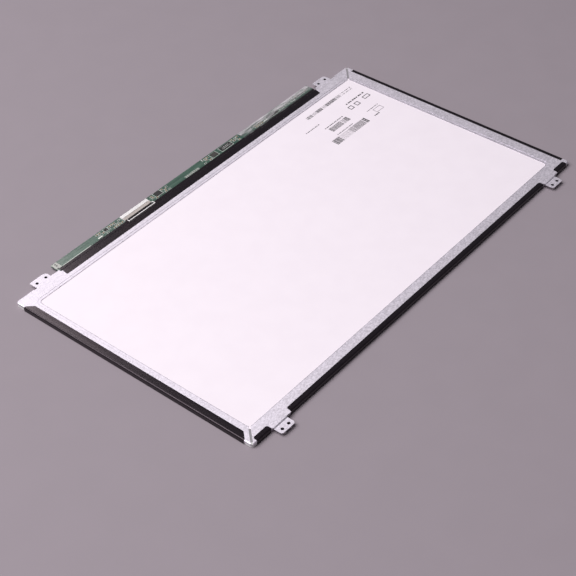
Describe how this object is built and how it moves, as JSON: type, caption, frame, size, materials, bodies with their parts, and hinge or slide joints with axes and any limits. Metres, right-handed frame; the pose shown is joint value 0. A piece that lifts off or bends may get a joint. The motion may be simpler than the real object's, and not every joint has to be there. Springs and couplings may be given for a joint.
{
  "type": "laptop screen panel",
  "caption": "Slim edge-lit display module for a laptop: steel back frame with screw tabs, white reflector window, taped edges, and a narrow control board with a video connector.",
  "frame": {"origin": "middle of the panel's outer box, on the screen's front face", "axes": "+X along the long side, +Y towards the control board, +Z out of the back"},
  "size_m": [0.3592, 0.2238, 0.0036],
  "materials": {
    "steel": "fine-grained satin sheet steel",
    "white_plastic": "matt moulded plastic",
    "black_tape": "satin black film tape",
    "reflector": "matt white film",
    "screen": "anti-glare polarising film",
    "cell_glass": "clear thin glass",
    "optical_film": "translucent film",
    "acrylic": "clear acrylic plate",
    "flex_film": "amber polyimide film",
    "board": "green solder mask",
    "chip": "matt moulded chip package",
    "tinned": "tinned metal",
    "connector_plastic": "heat-resistant moulded plastic",
    "contact_metal": "gold-plated spring metal",
    "ceramic": "ceramic",
    "ferrite": "ferrite",
    "white_ceramic": "white ceramic",
    "clear_film": "clear insulating film",
    "grey_tape": "grey conductive cloth tape",
    "ink": "dark printing ink on film",
    "board_print": "pale screen print on the board",
    "lamp": "white package with yellow phosphor"
  },
  "bodies": {
    "root": {"frame_left_half": "steel", "frame_right_half": "steel", "seam_strips": "grey_tape", "mould_frame": "white_plastic", "front_polariser": "screen", "colour_filter_glass": "cell_glass", "array_glass": "cell_glass", "rear_polariser": "screen", "cell_tape": "black_tape", "upper_diffuser": "optical_film", "upper_prism_sheet": "optical_film", "lower_prism_sheet": "optical_film", "lower_diffuser": "optical_film", "light_guide": "acrylic", "reflector_sheet": "reflector", "led_strip": "flex_film", "led_packages": "lamp", "led_flex_tail": "flex_film", "driver_films": "flex_film", "driver_chips": "chip", "control_board": "board", "board_cover_tape": "black_tape", "left_edge_tape": "black_tape", "right_edge_tape": "black_tape", "near_tape_left": "black_tape", "near_tape_long": "black_tape", "near_tape_right": "black_tape", "connector_housing": "connector_plastic", "connector_contacts": "contact_metal", "connector_shell": "tinned", "timing_controller": "chip", "led_driver_chip": "chip", "power_chip": "chip", "memory_chip": "chip", "power_inductors": "ferrite", "board_fuses": "white_ceramic", "chip_capacitors": "ceramic", "chip_resistors": "chip", "part_terminals": "tinned", "test_pads": "tinned", "ground_pads": "tinned", "board_film": "clear_film"}
  },
  "joints": []
}
